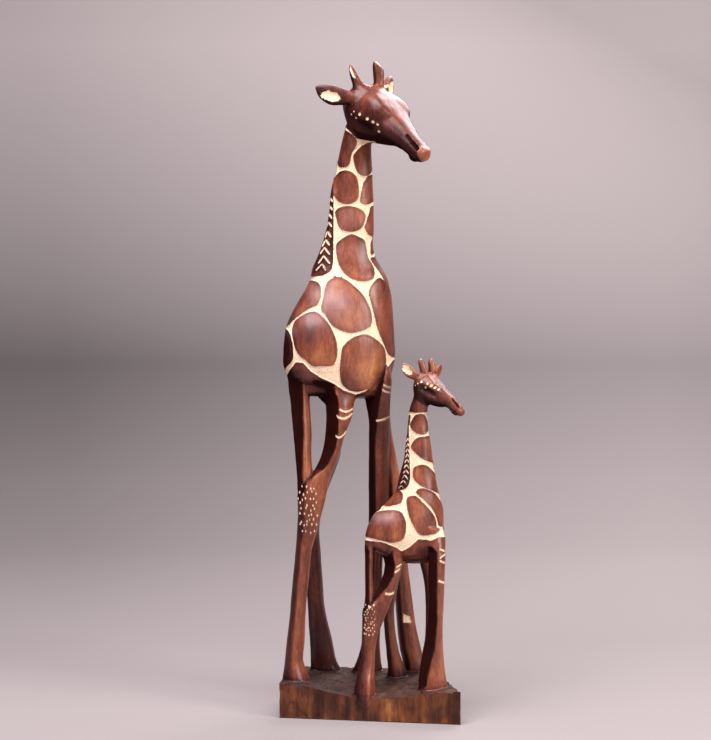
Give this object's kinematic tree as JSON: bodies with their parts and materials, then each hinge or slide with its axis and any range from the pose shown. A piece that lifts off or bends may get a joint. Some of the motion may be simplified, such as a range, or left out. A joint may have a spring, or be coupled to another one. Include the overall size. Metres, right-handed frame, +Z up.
{
  "type": "carved wooden giraffe mother and calf statue",
  "caption": "Hand-carved hardwood giraffe mother with a calf beside her on one rough-hewn block; dark polished patches between pale cut channels.",
  "frame": {"origin": "middle of the bounding box, on the underside of the block", "axes": "+Z up along the standing height, +X the way both bodies face, -Y towards the flank the calf stands on"},
  "size_m": [0.226, 0.136, 0.8],
  "materials": {
    "spotted_coat": "dark red-brown stained and polished patches between pale unstained chip-carved channels",
    "brown_stain": "mid red-brown stain, satin polish, grain along the limb, lighter worn ridges",
    "dark_stain": "near-black mahogany stain with a semi-gloss polish and pale cut dots and notches",
    "rough_block": "unpolished dark brown block, gouge marks on top, amber grain streaks on the sawn sides"
  },
  "bodies": {
    "root": {"base_block": "rough_block", "mother_torso": "spotted_coat", "mother_neck": "spotted_coat", "mother_mane": "dark_stain", "mother_head": "dark_stain", "mother_right_ear": "dark_stain", "mother_left_ear": "dark_stain", "mother_right_horn": "dark_stain", "mother_left_horn": "dark_stain", "mother_tail": "brown_stain", "mother_right_hind_leg": "brown_stain", "mother_left_hind_leg": "brown_stain", "mother_right_fore_leg": "brown_stain", "mother_left_fore_leg": "brown_stain", "calf_torso": "spotted_coat", "calf_neck": "spotted_coat", "calf_mane": "dark_stain", "calf_head": "brown_stain", "calf_right_ear": "brown_stain", "calf_left_ear": "brown_stain", "calf_right_horn": "brown_stain", "calf_left_horn": "brown_stain", "calf_tail": "brown_stain", "calf_right_hind_leg": "brown_stain", "calf_left_hind_leg": "brown_stain", "calf_right_fore_leg": "brown_stain", "calf_left_fore_leg": "brown_stain"}
  },
  "joints": []
}
